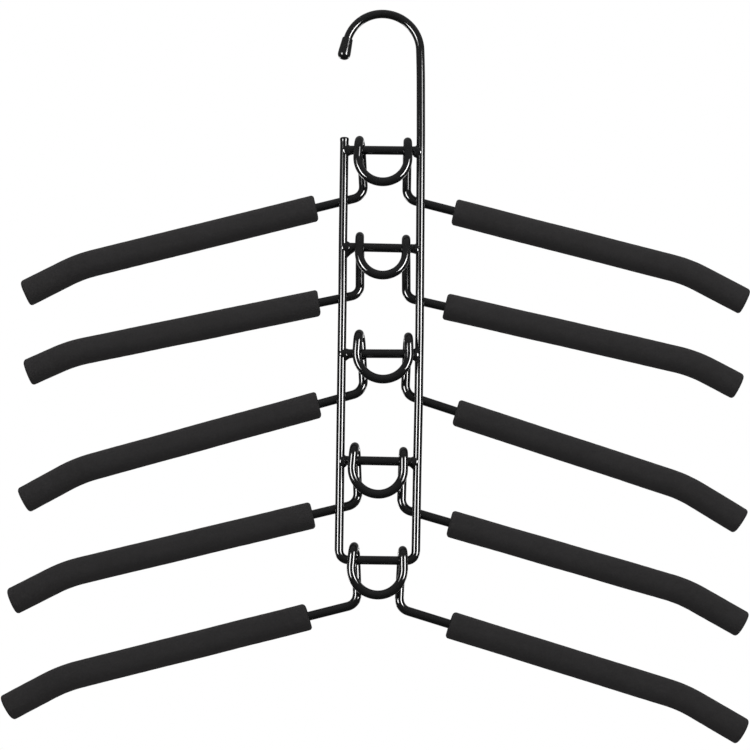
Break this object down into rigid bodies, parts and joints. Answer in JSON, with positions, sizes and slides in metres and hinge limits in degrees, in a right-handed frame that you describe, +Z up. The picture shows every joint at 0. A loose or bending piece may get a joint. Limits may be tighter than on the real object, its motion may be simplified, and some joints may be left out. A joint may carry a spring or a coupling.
{
  "type": "space-saving hanger",
  "caption": "Tiered clothes hanger: a hooked narrow wire frame with rungs, and swinging wire arms in foam sleeves that hook over the rungs.",
  "frame": {"origin": "where a rod meets the inside of the hook's top", "axes": "+Z up, +X to the right seen from the front, +Y towards the back, where the arms lie behind the frame"},
  "size_m": [0.4229, 0.0197, 0.4196],
  "materials": {
    "coated_wire": "gloss black coating on steel wire",
    "tip_cap": "smooth satin black",
    "foam": "matte charcoal foam with a fine open skin"
  },
  "bodies": {
    "frame": {"frame_wire": "coated_wire", "rung_1": "coated_wire", "rung_2": "coated_wire", "rung_3": "coated_wire", "rung_4": "coated_wire", "hook_tip_cap": "tip_cap"},
    "tier_1": {"arm_wire_1": "coated_wire", "foam_sleeve_1_left": "foam", "foam_sleeve_1_right": "foam"},
    "tier_2": {"arm_wire_2": "coated_wire", "foam_sleeve_2_left": "foam", "foam_sleeve_2_right": "foam"},
    "tier_3": {"arm_wire_3": "coated_wire", "foam_sleeve_3_left": "foam", "foam_sleeve_3_right": "foam"},
    "tier_4": {"arm_wire_4": "coated_wire", "foam_sleeve_4_left": "foam", "foam_sleeve_4_right": "foam"},
    "tier_5": {"arm_wire_5": "coated_wire", "foam_sleeve_5_left": "foam", "foam_sleeve_5_right": "foam"}
  },
  "joints": [
    {"name": "tier_1_swing", "type": "hinge", "parent": "frame", "child": "tier_1", "pos_m": [0, 0, -0.0791], "axis": [1, 0, 0], "range_deg": [0, 160]},
    {"name": "tier_2_swing", "type": "hinge", "parent": "frame", "child": "tier_2", "pos_m": [0, 0, -0.13662], "axis": [1, 0, 0], "range_deg": [0, 130]},
    {"name": "tier_3_swing", "type": "hinge", "parent": "frame", "child": "tier_3", "pos_m": [0, 0, -0.19829], "axis": [1, 0, 0], "range_deg": [0, 130]},
    {"name": "tier_4_swing", "type": "hinge", "parent": "frame", "child": "tier_4", "pos_m": [0, 0, -0.25997], "axis": [1, 0, 0], "range_deg": [0, 130]},
    {"name": "tier_5_swing", "type": "hinge", "parent": "frame", "child": "tier_5", "pos_m": [0, 0, -0.3163], "axis": [1, 0, 0], "range_deg": [0, 130]}
  ]
}
